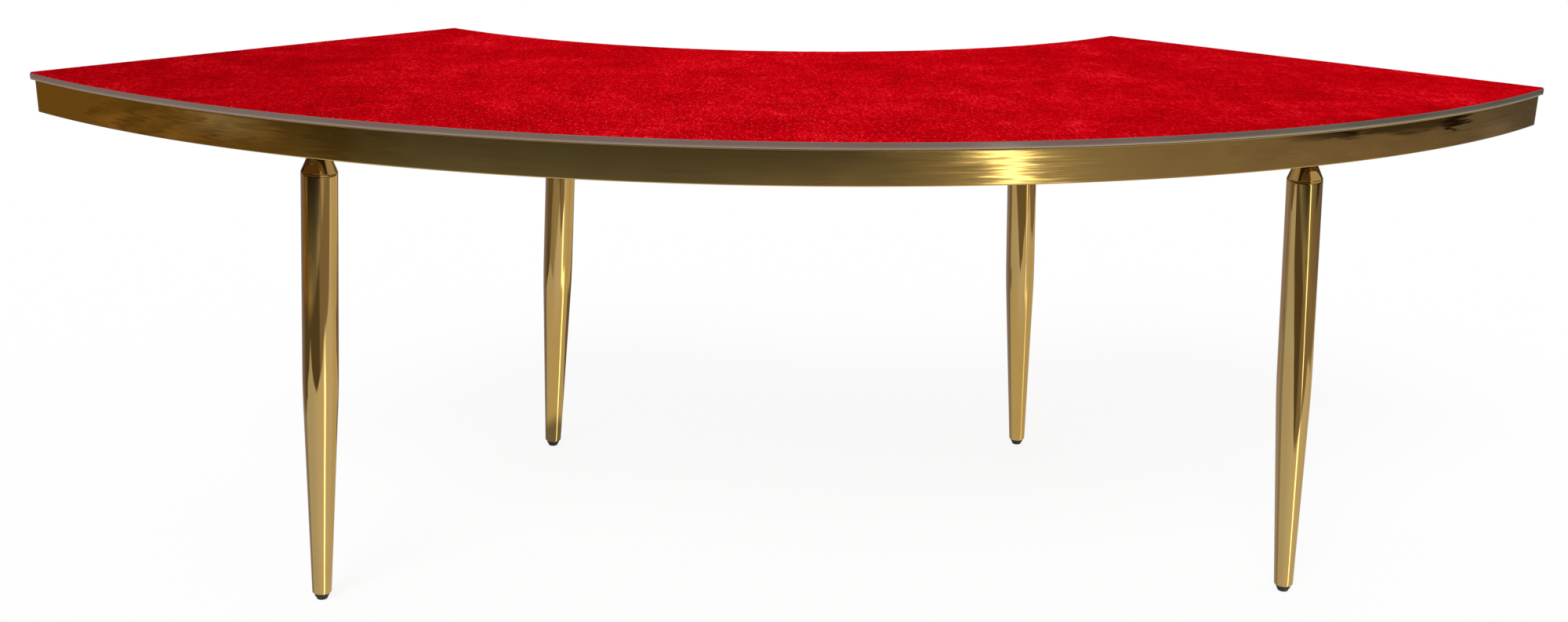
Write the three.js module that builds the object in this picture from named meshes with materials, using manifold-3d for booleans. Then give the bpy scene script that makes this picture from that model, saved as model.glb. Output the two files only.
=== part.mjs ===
// A curved gaming table: a quarter-ring glass top covered with velvet, lying on bumpers on a
// gold-finished steel frame, with four leaning round legs that end in levelling glides.
//
// Millimetres, +Z up. The origin is on the floor under the middle of the table's bounding box.
// The convex long edge faces -Y, the concave one +Y, and the table is symmetric about X = 0.
// Plan angles are measured about the rings' common centre, from -Y towards +X.

import * as THREE from 'three';
import { mergeVertices } from 'three/addons/utils/BufferGeometryUtils.js';
import Module from 'manifold-3d';

const wasm = await Module();
wasm.setup();

// ---------------------------------------------------------------- driving dimensions

const TABLE_HEIGHT = 750;
const OUTER_RADIUS = 1725; // convex edge of the top
const INNER_RADIUS = 900; // concave edge of the top
const HALF_SWEEP = THREE.MathUtils.degToRad(45); // each end lies this far from the middle
const TOP_CORNER = 5; // plan radius of the top's four corners

const VELVET_THICKNESS = 2;
const VELVET_SETBACK = 1; // the cloth stops this far inside the glass edge
const GLASS_THICKNESS = 10;
const BUMPER_HEIGHT = 1.5;
const BUMPER_RADIUS = 7;

const BAND_HEIGHT = 50;
const BAND_SETBACK = 6; // the frame stands this far inside the glass edge
const SHEET = 3; // frame sheet thickness
const TOP_FLANGE = 33; // width of the band's upper flange, web included
const BOTTOM_FLANGE = 15; // width of the band's lower flange, web included

const RIB_SIZE = 30; // square tube
const RIB_WALL = 2;

const FRONT_LEG = { radius: 1677.5, angle: THREE.MathUtils.degToRad(25.25) };
const BACK_LEG = { radius: 1013, angle: THREE.MathUtils.degToRad(24) };
const LEAN_SIDE = 0.0478; // sideways lean of a leg, per unit of drop
const LEAN_DEPTH = 0.0307; // lean to the front or the back, per unit of drop

const LEG_RADIUS = 26;
const LEG_WALL = 2;
const FOOT_RADIUS = 14.3;
const FOOT_CHAMFER = 3;
const CAP_HEIGHT = 28.5;
const CAP_TOP_RADIUS = 14.5;
const CAP_SPIGOT = 12;
const TAPER_START_Z = 335; // the leg is straight above this height and tapers below it
const LEG_END_Z = 10.3;

const THREAD_RADIUS = 5; // M10, in the leg bolts and in the glides
const BOLT_ABOVE = 13.5; // bolt length above the cap
const BOLT_BELOW = 56.5; // bolt length below the cap's top
const NUT_ACROSS_FLATS = 17;
const NUT_HEIGHT = 8;
const PLATE = { length: 84, width: 60, thickness: 5 };
const PLUG_HEIGHT = 32;

const PAD_HEIGHT = 5;
const PAD_RADIUS = 9.8;
const PAD_SOLE_RADIUS = 8;
const COLLAR_RADIUS = 11;
const COLLAR_TOP_Z = 9;
const PIN_RADIUS = 3;
const PIN_BOTTOM_Z = 2.8;
const GLIDE_SCREW_TOP_Z = 50;

const GAP = 0.3; // clearance between neighbours that are turned or fitted into each other

// ---------------------------------------------------------------- derived heights and places

const GLASS_TOP_Z = TABLE_HEIGHT - VELVET_THICKNESS;
const GLASS_BOTTOM_Z = GLASS_TOP_Z - GLASS_THICKNESS;
const FRAME_TOP_Z = GLASS_BOTTOM_Z - BUMPER_HEIGHT;
const FRAME_BOTTOM_Z = FRAME_TOP_Z - BAND_HEIGHT;
const RIB_TOP_Z = FRAME_TOP_Z - SHEET - GAP;
const RIB_BOTTOM_Z = RIB_TOP_Z - RIB_SIZE;
const PLATE_TOP_Z = RIB_BOTTOM_Z - GAP;
const LEG_TOP_Z = FRAME_BOTTOM_Z + 0.5;

const OUTER_WEB = OUTER_RADIUS - BAND_SETBACK; // visible face of the convex band
const INNER_WEB = INNER_RADIUS + BAND_SETBACK; // visible face of the concave band

// The rounded inner corners set how far the table reaches to +Y, and so where the rings' centre is.
const cornerAlong = Math.sqrt((INNER_RADIUS + TOP_CORNER) ** 2 - TOP_CORNER ** 2);
const backReach = (cornerAlong + TOP_CORNER) * Math.cos(HALF_SWEEP) - TOP_CORNER;
const CENTRE_Y = (OUTER_RADIUS + backReach) / 2;

// ---------------------------------------------------------------- finishes

function finish(color, roughness, metalness) {
  return new THREE.MeshStandardMaterial({ color, roughness, metalness });
}

const RED_VELVET = finish(0xbe0a1c, 0.95, 0);
const GREY_GLASS = finish(0x766f66, 0.1, 0);
const CLEAR_SILICONE = finish(0xd8d8d2, 0.4, 0);
const GOLD_MIRROR = finish(0xb98f45, 0.12, 1);
const BLACK_PAINTED_STEEL = finish(0x262420, 0.55, 0.4);
const ZINC_STEEL = finish(0xa9abac, 0.35, 1);
const BLACK_NYLON = finish(0x141414, 0.6, 0);

// ---------------------------------------------------------------- geometry helpers

// Plan point at a radius and angle about the rings' centre.
function polar(radius, angle) {
  return new THREE.Vector2(radius * Math.sin(angle), CENTRE_Y - radius * Math.cos(angle));
}

// Points on an arc, with angles counted as for polar.
function arc(centre, radius, from, to, segments) {
  const points = [];
  for (let i = 0; i <= segments; i += 1) {
    const angle = from + ((to - from) * i) / segments;
    points.push(new THREE.Vector2(centre.x + radius * Math.sin(angle), centre.y - radius * Math.cos(angle)));
  }
  return points;
}

// A slab in the shape of the table's plan: a ring sector between two radii whose straight ends lie
// `inset` inside the table's radial ends, with rounded corners when `corner` is above zero.
function sectorSlab({ outer, inner, inset, corner = 0, bottom, top }) {
  const ringCentre = new THREE.Vector2(0, CENTRE_Y);
  const outerEnd = HALF_SWEEP - Math.asin((inset + corner) / (outer - corner));
  const innerEnd = HALF_SWEEP - Math.asin((inset + corner) / (inner + corner));
  const endNormal = HALF_SWEEP + Math.PI / 2;
  const steps = corner > 0 ? 4 : 0;
  const rounded = (centre, from, to) => (steps ? arc(centre, corner, from, to, steps) : []);
  const outline = [
    ...arc(ringCentre, outer, -outerEnd, outerEnd, 48),
    ...rounded(polar(outer - corner, outerEnd), outerEnd, endNormal),
    ...rounded(polar(inner + corner, innerEnd), endNormal, innerEnd + Math.PI),
    ...arc(ringCentre, inner, innerEnd, -innerEnd, 36),
    ...rounded(polar(inner + corner, -innerEnd), -innerEnd - Math.PI, -endNormal),
    ...rounded(polar(outer - corner, -outerEnd), -endNormal, -outerEnd),
  ].filter((point, i, all) => i === 0 || point.distanceTo(all[i - 1]) > 1e-3);
  const settings = { depth: top - bottom, bevelEnabled: false };
  const slab = new THREE.ExtrudeGeometry(new THREE.Shape(outline), settings);
  return slab.translate(0, 0, bottom);
}

// A solid of revolution about local Z from [radius, z] points that run up the outside.
function turned(profile, segments = 24) {
  const points = profile.map(([radius, z]) => new THREE.Vector2(radius, z));
  return new THREE.LatheGeometry(points, segments).rotateX(Math.PI / 2);
}

// A ring-shaped solid of revolution: its profile closes on itself.
function turnedRing(profile, segments = 24) {
  return turned([...profile, profile[0]], segments);
}

function box(length, width, height) {
  return new THREE.BoxGeometry(length, width, height);
}

// A three.js geometry as a solid that can be joined and cut.
function solidOf(geometry) {
  const bare = geometry.clone();
  bare.deleteAttribute('normal');
  bare.deleteAttribute('uv');
  const merged = mergeVertices(bare, 1e-4);
  const triangles = [];
  for (let i = 0; i < merged.index.count; i += 3) {
    const [a, b, c] = [0, 1, 2].map((corner) => merged.index.getX(i + corner));
    if (a !== b && b !== c && c !== a) triangles.push(a, b, c);
  }
  const vertProperties = new Float32Array(merged.attributes.position.array);
  const triVerts = new Uint32Array(triangles);
  return new wasm.Manifold(new wasm.Mesh({ numProp: 3, vertProperties, triVerts }));
}

function geometryOf(solid) {
  const { vertProperties, triVerts } = solid.getMesh();
  const geometry = new THREE.BufferGeometry();
  geometry.setAttribute('position', new THREE.BufferAttribute(vertProperties, 3));
  geometry.setIndex(new THREE.BufferAttribute(triVerts, 1));
  geometry.computeVertexNormals();
  return geometry;
}

function addPiece(parent, name, geometry, material) {
  const mesh = new THREE.Mesh(geometry, material);
  mesh.name = name;
  parent.add(mesh);
  return mesh;
}

const table = new THREE.Group();
table.name = 'curved_gaming_table';

// ---------------------------------------------------------------- top: velvet on a glass sheet

addPiece(
  table,
  'velvet_cover',
  sectorSlab({
    outer: OUTER_RADIUS - VELVET_SETBACK,
    inner: INNER_RADIUS + VELVET_SETBACK,
    inset: VELVET_SETBACK,
    corner: TOP_CORNER - VELVET_SETBACK,
    bottom: GLASS_TOP_Z,
    top: TABLE_HEIGHT,
  }),
  RED_VELVET,
);

addPiece(
  table,
  'glass_top',
  sectorSlab({
    outer: OUTER_RADIUS,
    inner: INNER_RADIUS,
    inset: 0,
    corner: TOP_CORNER,
    bottom: GLASS_BOTTOM_Z,
    top: GLASS_TOP_Z,
  }),
  GREY_GLASS,
);

// ---------------------------------------------------------------- bumpers under the glass

const flangeMiddle = (TOP_FLANGE + SHEET) / 2;
const bumperAngle = (degrees) => THREE.MathUtils.degToRad(degrees);
const bumperPlaces = [
  ...[-38, -19, 0, 19, 38].map((a) => polar(OUTER_WEB - flangeMiddle, bumperAngle(a))),
  ...[-36, -12, 12, 36].map((a) => polar(INNER_WEB + flangeMiddle, bumperAngle(a))),
];
for (const side of [-1, 1]) {
  const middle = (OUTER_RADIUS + INNER_RADIUS) / 2;
  const swing = HALF_SWEEP - Math.asin((BAND_SETBACK + flangeMiddle) / middle);
  bumperPlaces.push(polar(middle, side * swing));
}
const bumperProfile = [
  [0, 0],
  [BUMPER_RADIUS, 0],
  [BUMPER_RADIUS, BUMPER_HEIGHT],
  [0, BUMPER_HEIGHT],
];
bumperPlaces.forEach((place, i) => {
  const geometry = turned(bumperProfile, 12);
  const bumper = addPiece(table, `bumper_${String(i + 1).padStart(2, '0')}`, geometry, CLEAR_SILICONE);
  bumper.position.set(place.x, place.y, FRAME_TOP_Z);
});

// ---------------------------------------------------------------- frame: four bands and three ribs

// A level arc at mid-height of the frame, between two plan angles.
class BandPath extends THREE.Curve {
  constructor(radius, halfAngle) {
    super();
    this.radius = radius;
    this.halfAngle = halfAngle;
  }

  getPoint(t, target = new THREE.Vector3()) {
    const place = polar(this.radius, (2 * t - 1) * this.halfAngle);
    return target.set(place.x, place.y, (FRAME_TOP_Z + FRAME_BOTTOM_Z) / 2);
  }
}

// A curved C-section band whose web is at `webRadius` and whose flanges point `inward` of it:
// -1 towards the rings' centre, 1 away from it. The web reaches the end bands' outer faces, and
// the flanges are trimmed to stop at the end bands' webs.
function curvedBand(webRadius, inward, steps) {
  const half = BAND_HEIGHT / 2;
  const section = [
    [0, -half],
    [BOTTOM_FLANGE, -half],
    [BOTTOM_FLANGE, -half + SHEET],
    [SHEET, -half + SHEET],
    [SHEET, half - SHEET],
    [TOP_FLANGE, half - SHEET],
    [TOP_FLANGE, half],
    [0, half],
  ];
  // Along this path a shape's X points down and its Y points towards the rings' centre.
  const shape = new THREE.Shape(section.map(([depth, z]) => new THREE.Vector2(-z, -inward * depth)));
  const path = new BandPath(webRadius, HALF_SWEEP - Math.asin(BAND_SETBACK / webRadius));
  let band = solidOf(new THREE.ExtrudeGeometry(shape, { steps, extrudePath: path }));
  const clearance = 2 * (SHEET + GAP);
  for (const side of [-1, 1]) {
    const notch = box(TOP_FLANGE, clearance, BAND_HEIGHT + 2);
    notch.translate(inward * (SHEET + TOP_FLANGE / 2), -side * BAND_SETBACK, 0);
    notch.translate(webRadius, 0, (FRAME_TOP_Z + FRAME_BOTTOM_Z) / 2);
    notch.rotateZ(side * HALF_SWEEP - Math.PI / 2).translate(0, CENTRE_Y, 0);
    band = band.subtract(solidOf(notch));
  }
  return geometryOf(band);
}

addPiece(table, 'outer_band', curvedBand(OUTER_WEB, -1, 48), GOLD_MIRROR);
addPiece(table, 'inner_band', curvedBand(INNER_WEB, 1, 36), GOLD_MIRROR);

// A straight C-section band between the curved ones, in a frame whose X runs outward along the
// table's radial end. Each of its walls stops a little short of the curved bands' same wall.
function endBand(side) {
  const bar = (width, bottom, top) => {
    const from = INNER_WEB + width + GAP;
    const to = Math.sqrt((OUTER_WEB - width) ** 2 - (BAND_SETBACK + width) ** 2) - GAP;
    const wall = box(to - from, width, top - bottom);
    const acrossEnd = -side * (BAND_SETBACK + width / 2);
    return solidOf(wall.translate((from + to) / 2, acrossEnd, (bottom + top) / 2));
  };
  const section = bar(SHEET, FRAME_BOTTOM_Z, FRAME_TOP_Z)
    .add(bar(TOP_FLANGE, FRAME_TOP_Z - SHEET, FRAME_TOP_Z))
    .add(bar(BOTTOM_FLANGE, FRAME_BOTTOM_Z, FRAME_BOTTOM_Z + SHEET));
  return geometryOf(section);
}

for (const [name, side] of [['left_end_band', -1], ['right_end_band', 1]]) {
  const band = addPiece(table, name, endBand(side), GOLD_MIRROR);
  band.position.set(0, CENTRE_Y, 0);
  band.rotation.z = side * HALF_SWEEP - Math.PI / 2;
}

// Plan place of a leg's top, for side -1 (left) or 1 (right).
function legPlace(leg, side) {
  return polar(leg.radius, side * leg.angle);
}

// Space between the two curved webs, which the ribs are trimmed to.
const betweenWebs = solidOf(
  sectorSlab({
    outer: OUTER_WEB - SHEET - GAP,
    inner: INNER_WEB + SHEET + GAP,
    inset: 0,
    bottom: RIB_BOTTOM_Z - 1,
    top: RIB_TOP_Z + 1,
  }),
);

// A square tube that lies over the two given plan points and reaches both webs.
function rib(back, front) {
  const along = front.clone().sub(back);
  const square = (half) => [
    new THREE.Vector2(-half, -half),
    new THREE.Vector2(half, -half),
    new THREE.Vector2(half, half),
    new THREE.Vector2(-half, half),
  ];
  const section = new THREE.Shape(square(RIB_SIZE / 2));
  section.holes.push(new THREE.Path(square(RIB_SIZE / 2 - RIB_WALL)));
  const length = 1100;
  const tube = new THREE.ExtrudeGeometry(section, { depth: length, bevelEnabled: false });
  tube.translate(0, 0, -length / 2).rotateY(Math.PI / 2).rotateZ(Math.atan2(along.y, along.x));
  tube.translate((back.x + front.x) / 2, (back.y + front.y) / 2, (RIB_BOTTOM_Z + RIB_TOP_Z) / 2);
  return geometryOf(solidOf(tube).intersect(betweenWebs));
}

addPiece(table, 'left_rib', rib(legPlace(BACK_LEG, -1), legPlace(FRONT_LEG, -1)), BLACK_PAINTED_STEEL);
addPiece(table, 'middle_rib', rib(polar(INNER_WEB, 0), polar(OUTER_WEB, 0)), BLACK_PAINTED_STEEL);
addPiece(table, 'right_rib', rib(legPlace(BACK_LEG, 1), legPlace(FRONT_LEG, 1)), BLACK_PAINTED_STEEL);

// ---------------------------------------------------------------- legs

const leanLength = Math.hypot(LEAN_SIDE, LEAN_DEPTH, 1);
const LEG_LENGTH = (LEG_TOP_Z - LEG_END_Z) * leanLength;
const TAPER_START = (LEG_TOP_Z - TAPER_START_Z) * leanLength;
const BORE_RADIUS = THREAD_RADIUS + GAP;
const TUBE_INSIDE = LEG_RADIUS - LEG_WALL;
const FOOT_INSIDE = FOOT_RADIUS - LEG_WALL;

// Everything below is drawn about the leg's own axis: the top of the cap is at local Z = 0 and
// the leg runs towards local -Z.
const capProfile = [
  [BORE_RADIUS, -CAP_HEIGHT - CAP_SPIGOT],
  [TUBE_INSIDE - GAP, -CAP_HEIGHT - CAP_SPIGOT],
  [TUBE_INSIDE - GAP, -CAP_HEIGHT],
  [LEG_RADIUS, -CAP_HEIGHT],
  [CAP_TOP_RADIUS, 0],
  [BORE_RADIUS, 0],
];
const tubeProfile = [
  [FOOT_RADIUS - FOOT_CHAMFER / 2, -LEG_LENGTH],
  [FOOT_RADIUS, -LEG_LENGTH + FOOT_CHAMFER],
  [LEG_RADIUS, -TAPER_START],
  [LEG_RADIUS, -CAP_HEIGHT - GAP],
  [TUBE_INSIDE, -CAP_HEIGHT - GAP],
  [TUBE_INSIDE, -TAPER_START],
  [FOOT_INSIDE, -LEG_LENGTH],
];
const boltProfile = [
  [0, -BOLT_BELOW],
  [THREAD_RADIUS, -BOLT_BELOW],
  [THREAD_RADIUS, BOLT_ABOVE],
  [0, BOLT_ABOVE],
];
const plugWidening = (PLUG_HEIGHT * (TUBE_INSIDE - FOOT_INSIDE)) / (LEG_LENGTH - TAPER_START);
const plugProfile = [
  [0, -LEG_LENGTH],
  [FOOT_INSIDE - GAP, -LEG_LENGTH],
  [FOOT_INSIDE - GAP + plugWidening, -LEG_LENGTH + PLUG_HEIGHT],
  [0, -LEG_LENGTH + PLUG_HEIGHT],
];

// The glide stands upright under the leaning leg, so its pieces are drawn from the floor up.
const glideScrewProfile = [
  [0, PIN_BOTTOM_Z],
  [PIN_RADIUS, PIN_BOTTOM_Z],
  [PIN_RADIUS, PAD_HEIGHT + GAP],
  [COLLAR_RADIUS - 1, PAD_HEIGHT + GAP],
  [COLLAR_RADIUS, PAD_HEIGHT + GAP + 1],
  [COLLAR_RADIUS, COLLAR_TOP_Z],
  [THREAD_RADIUS, COLLAR_TOP_Z],
  [THREAD_RADIUS, GLIDE_SCREW_TOP_Z],
  [0, GLIDE_SCREW_TOP_Z],
];
const glidePadProfile = [
  [0, 0],
  [PAD_SOLE_RADIUS, 0],
  [PAD_RADIUS, PAD_HEIGHT],
  [PIN_RADIUS + GAP, PAD_HEIGHT],
  [PIN_RADIUS + GAP, PIN_BOTTOM_Z - GAP],
  [0, PIN_BOTTOM_Z - GAP],
];

function hexNut() {
  const corner = NUT_ACROSS_FLATS / 2 / Math.cos(Math.PI / 6);
  const corners = Array.from({ length: 6 }, (_, i) => {
    const angle = (i * Math.PI) / 3;
    return new THREE.Vector2(corner * Math.cos(angle), corner * Math.sin(angle));
  });
  const shape = new THREE.Shape(corners);
  shape.holes.push(new THREE.Path().absarc(0, 0, BORE_RADIUS, 0, 2 * Math.PI, true));
  return new THREE.ExtrudeGeometry(shape, { depth: NUT_HEIGHT, bevelEnabled: false, curveSegments: 6 });
}

// A leg's plate: a flat plate in line with the rib over it, with a threaded boss along the leg.
function legPlate(legMatrix, top, ribAngle, plateShift) {
  const middleZ = PLATE_TOP_Z - PLATE.thickness / 2;
  const plate = box(PLATE.length, PLATE.width, PLATE.thickness).translate(plateShift, 0, 0).rotateZ(ribAngle);
  plate.translate(top.x, top.y, middleZ);
  const bossTop = middleZ - LEG_TOP_Z;
  const boss = turned([[0, GAP], [CAP_TOP_RADIUS, GAP], [CAP_TOP_RADIUS, bossTop], [0, bossTop]], 16);
  const bore = turned([[0, -5], [BORE_RADIUS, -5], [BORE_RADIUS, 20], [0, 20]], 12);
  const joined = solidOf(plate).add(solidOf(boss.applyMatrix4(legMatrix)));
  return geometryOf(joined.subtract(solidOf(bore.applyMatrix4(legMatrix))));
}

// A foot plug with its upright threaded bore, in the table's own frame.
function footPlug(legMatrix, foot) {
  const plug = solidOf(turned(plugProfile).applyMatrix4(legMatrix));
  const boreTop = LEG_END_Z + PLUG_HEIGHT + 10;
  const bore = turned([[0, 0], [BORE_RADIUS, 0], [BORE_RADIUS, boreTop], [0, boreTop]], 12);
  return geometryOf(plug.subtract(solidOf(bore.translate(foot.x, foot.y, 0))));
}

function addLeg(name, leg, side, depth) {
  const place = legPlace(leg, side);
  const drop = LEG_TOP_Z - LEG_END_Z;
  const foot = new THREE.Vector2(side * LEAN_SIDE, depth * LEAN_DEPTH).multiplyScalar(drop).add(place);
  const down = new THREE.Vector3(side * LEAN_SIDE, depth * LEAN_DEPTH, -1).normalize();

  const group = new THREE.Group();
  group.position.set(place.x, place.y, LEG_TOP_Z);
  group.quaternion.setFromUnitVectors(new THREE.Vector3(0, 0, -1), down);
  group.updateMatrix();
  table.add(group);
  addPiece(group, `${name}_leg_cap`, turnedRing(capProfile), GOLD_MIRROR);
  addPiece(group, `${name}_leg_tube`, turnedRing(tubeProfile), GOLD_MIRROR);
  addPiece(group, `${name}_leg_bolt`, turned(boltProfile, 12), ZINC_STEEL);
  const nut = addPiece(group, `${name}_leg_nut`, hexNut(), ZINC_STEEL);
  nut.position.z = -CAP_HEIGHT - CAP_SPIGOT - GAP - NUT_HEIGHT;

  const back = legPlace(BACK_LEG, side);
  const front = legPlace(FRONT_LEG, side);
  const ribAngle = Math.atan2(front.y - back.y, front.x - back.x);
  const plateShift = depth < 0 ? -12 : 0; // the front plates stop short of the band's web
  const plate = legPlate(group.matrix, place, ribAngle, plateShift);
  addPiece(table, `${name}_leg_plate`, plate, BLACK_PAINTED_STEEL);
  addPiece(table, `${name}_foot_plug`, footPlug(group.matrix, foot), ZINC_STEEL);

  const glide = new THREE.Group();
  glide.position.set(foot.x, foot.y, 0);
  table.add(glide);
  addPiece(glide, `${name}_glide_screw`, turned(glideScrewProfile, 16), BLACK_NYLON);
  addPiece(glide, `${name}_glide_pad`, turned(glidePadProfile, 16), BLACK_NYLON);
}

addLeg('front_left', FRONT_LEG, -1, -1);
addLeg('front_right', FRONT_LEG, 1, -1);
addLeg('back_left', BACK_LEG, -1, 1);
addLeg('back_right', BACK_LEG, 1, 1);

export default table;
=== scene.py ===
"""Looks of the curved gaming table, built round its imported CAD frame. Everything is in metres."""

import math

import bmesh
import bpy
import numpy as np
from mathutils import Matrix, Vector


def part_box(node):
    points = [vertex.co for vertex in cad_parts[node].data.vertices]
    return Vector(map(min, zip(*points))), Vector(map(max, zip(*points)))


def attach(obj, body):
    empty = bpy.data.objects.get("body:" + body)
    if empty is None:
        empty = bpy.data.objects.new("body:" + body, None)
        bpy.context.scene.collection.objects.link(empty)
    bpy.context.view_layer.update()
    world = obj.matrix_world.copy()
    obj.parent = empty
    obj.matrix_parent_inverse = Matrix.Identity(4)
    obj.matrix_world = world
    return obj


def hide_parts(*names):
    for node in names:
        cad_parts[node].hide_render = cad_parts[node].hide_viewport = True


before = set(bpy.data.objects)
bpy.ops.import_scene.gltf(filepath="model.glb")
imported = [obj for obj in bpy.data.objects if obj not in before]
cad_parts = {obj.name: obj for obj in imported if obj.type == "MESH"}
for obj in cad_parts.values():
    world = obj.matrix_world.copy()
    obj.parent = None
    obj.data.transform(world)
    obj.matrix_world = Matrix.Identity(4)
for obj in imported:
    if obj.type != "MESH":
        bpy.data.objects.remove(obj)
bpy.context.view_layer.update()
scene = bpy.context.scene
MM = 0.001
SAME_POINT = 0.001 * MM

# ---------------------------------------------------------------- sizes of the real thing

OUTER_RADIUS = 1.725
INNER_RADIUS = 0.900
HALF_SWEEP = math.radians(45)
TOP_CORNER = 5 * MM

BAND_SETBACK = 6 * MM
SHEET = 3 * MM
TOP_FLANGE = 33 * MM
BOTTOM_FLANGE = 15 * MM
BAND_FOLD = 1.8 * MM
FLAT_MARGIN = 0.3 * MM  # a row of points this far inside a flat face keeps its shading flat
FITTING_GAP = 0.3 * MM

LEG_RADIUS = 26 * MM
LEG_WALL = 2 * MM
FOOT_RADIUS = 14.3 * MM
LEG_TOP_Z = 0.6870
LEG_END_Z = 0.0103
TAPER_START_Z = 0.335
CAP_HEIGHT = 28.5 * MM
CAP_TOP_RADIUS = 14.5 * MM
CAP_SPIGOT = 12 * MM
BOLT_BORE = 5.3 * MM
GLIDE_SEGMENTS = 72

glass_low, glass_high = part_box("glass_top")
velvet_low, velvet_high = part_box("velvet_cover")
band_low, band_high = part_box("outer_band")
RING_Y = glass_low.y + OUTER_RADIUS
BAND_MIDDLE_Z = (band_low.z + band_high.z) / 2
BAND_HALF_HEIGHT = (band_high.z - band_low.z) / 2

FEET = ("front_left", "front_right", "back_left", "back_right")


# ---------------------------------------------------------------- plan geometry


def ring_point(radius, angle):
    """Plan point at an angle from the middle of the table's front, positive to the right."""
    return np.array([radius * math.sin(angle), RING_Y - radius * math.cos(angle)])


def end_axes(side):
    """Unit vectors along a radial end, outward from the rings' centre, and square to it, off the table."""
    along = np.array([side * math.sin(HALF_SWEEP), -math.cos(HALF_SWEEP)])
    off = np.array([side * math.cos(HALF_SWEEP), math.sin(HALF_SWEEP)])
    return along, off


def turn_between(centre, radius, start, end, steps):
    """Points on a circle from direction start to direction end, the short way round."""
    a = math.atan2(start[1], start[0])
    b = math.atan2(end[1], end[0])
    b = a + (b - a + math.pi) % (2 * math.pi) - math.pi
    return [centre + radius * np.array([math.cos(t), math.sin(t)]) for t in np.linspace(a, b, steps + 1)]


def sector_sides(inset, arc_steps, corner_steps=6):
    """The top's convex and concave sides in plan, left to right with their corners, moved in by inset."""
    centre = np.array([0.0, RING_Y])
    sides = []
    for radius, outward in ((OUTER_RADIUS, 1), (INNER_RADIUS, -1)):
        reach = radius - outward * TOP_CORNER
        tangent = HALF_SWEEP - math.asin(TOP_CORNER / reach)
        corners = {}
        for side in (-1, 1):
            along, off = end_axes(side)
            middle = centre + along * math.sqrt(reach**2 - TOP_CORNER**2) - off * TOP_CORNER
            towards = outward * (middle - centre) / reach
            corners[side] = turn_between(middle, TOP_CORNER - inset, off, towards, corner_steps)
        turns = np.linspace(-tangent, tangent, arc_steps + 1)
        arc = [ring_point(radius - outward * inset, turn) for turn in turns]
        sides.append(np.array(corners[-1] + arc[1:-1] + corners[1][::-1]))
    return sides


# ---------------------------------------------------------------- mesh helpers


class Mesh:
    """Vertices and faces that grow ring by ring."""

    def __init__(self):
        self.vertices = []
        self.faces = []

    def add(self, points):
        """Adds points and returns their numbers."""
        first = len(self.vertices)
        self.vertices.extend(tuple(float(c) for c in p) for p in points)
        return list(range(first, first + len(points)))

    def skin(self, a, b, closed=True):
        """Quads between two rings of the same length."""
        last = len(a) if closed else len(a) - 1
        for i in range(last):
            j = (i + 1) % len(a)
            self.faces.append((a[i], a[j], b[j], b[i]))

    def strip(self, a, b):
        self.skin(a, b, closed=False)


def finish_piece(name, mesh, material, body, stands_for, grain=None, sharp=35):
    """Makes the object, cleans its mesh, ties it to its CAD body and hides the CAD nodes it stands for.
    Grain holds a place for each point, counted along the piece. Edges over sharp degrees stay crisp."""
    data = bpy.data.meshes.new(name)
    data.from_pydata(mesh.vertices, [], mesh.faces)
    if grain is not None:
        attribute = data.attributes.new("grain", "FLOAT_VECTOR", "POINT")
        attribute.data.foreach_set("vector", np.asarray(grain, np.float32).ravel())
    clean(data)
    data.polygons.foreach_set("use_smooth", np.ones(len(data.polygons), bool))
    data.set_sharp_from_angle(angle=math.radians(sharp))
    data.materials.append(material)
    piece = bpy.data.objects.new(name, data)
    scene.collection.objects.link(piece)
    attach(piece, body)
    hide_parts(*stands_for)
    return piece


def clean(data):
    """Merges doubled points, drops faces with no area and turns all faces outward."""
    bm = bmesh.new()
    bm.from_mesh(data)
    bmesh.ops.remove_doubles(bm, verts=bm.verts, dist=SAME_POINT)
    bmesh.ops.dissolve_degenerate(bm, edges=bm.edges, dist=SAME_POINT)
    bmesh.ops.recalc_face_normals(bm, faces=bm.faces)
    bm.to_mesh(data)
    bm.free()


LATTICE = 256


def lattice_noise(x, y, cell, seed):
    """Smooth random heights from 0 to 1 on a square lattice that repeats every LATTICE cells."""
    table = np.random.default_rng(seed).random((LATTICE, LATTICE))
    u, v = x / cell, y / cell
    i, j = np.floor(u).astype(int), np.floor(v).astype(int)
    fu, fv = u - i, v - j
    fu, fv = fu * fu * (3 - 2 * fu), fv * fv * (3 - 2 * fv)
    i0, j0 = i % LATTICE, j % LATTICE
    i1, j1 = (i + 1) % LATTICE, (j + 1) % LATTICE
    low = table[i0, j0] * (1 - fu) + table[i1, j0] * fu
    high = table[i0, j1] * (1 - fu) + table[i1, j1] * fu
    return low * (1 - fv) + high * fv


# ---------------------------------------------------------------- shader helpers


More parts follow.
